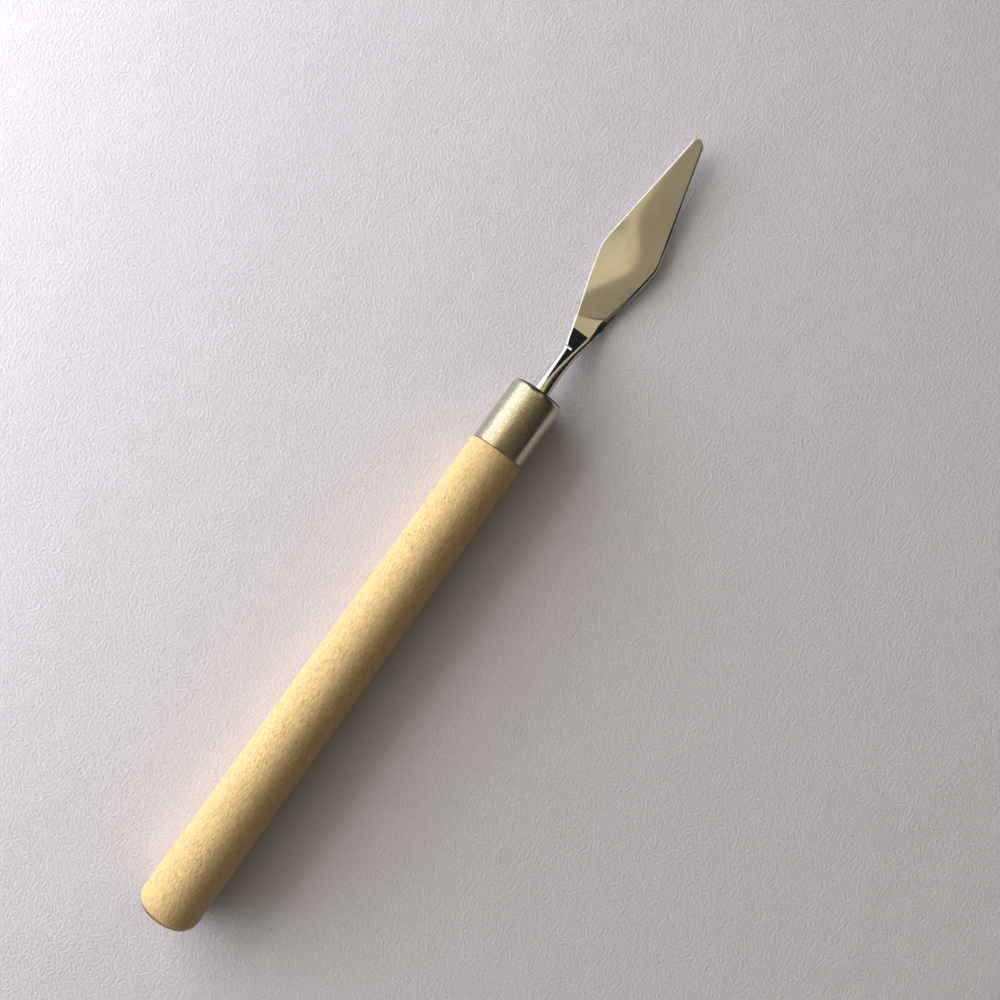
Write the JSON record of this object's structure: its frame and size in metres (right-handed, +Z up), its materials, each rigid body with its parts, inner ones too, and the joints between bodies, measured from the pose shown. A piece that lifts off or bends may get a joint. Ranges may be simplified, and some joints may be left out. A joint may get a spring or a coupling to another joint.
{
  "type": "palette knife",
  "caption": "Painter's palette knife with a small kite-shaped steel blade on a cranked stem, a plain metal ferrule and a round tapered wooden handle.",
  "frame": {"origin": "on the table under the handle axis, halfway between the butt and the blade's tip", "axes": "+Y from the butt towards the blade's tip, +Z up from the table, +X to the right seen from above with the tip away"},
  "size_m": [0.0143, 0.1896, 0.013],
  "materials": {
    "handle_wood": "bare sanded pale hardwood",
    "ferrule_nickel": "satin nickel plate",
    "blade_steel": "mirror-polished stainless steel",
    "adhesive": "cured clear amber epoxy"
  },
  "bodies": {
    "root": {"handle": "handle_wood", "ferrule": "ferrule_nickel", "blade": "blade_steel", "tang_adhesive": "adhesive"}
  },
  "joints": []
}
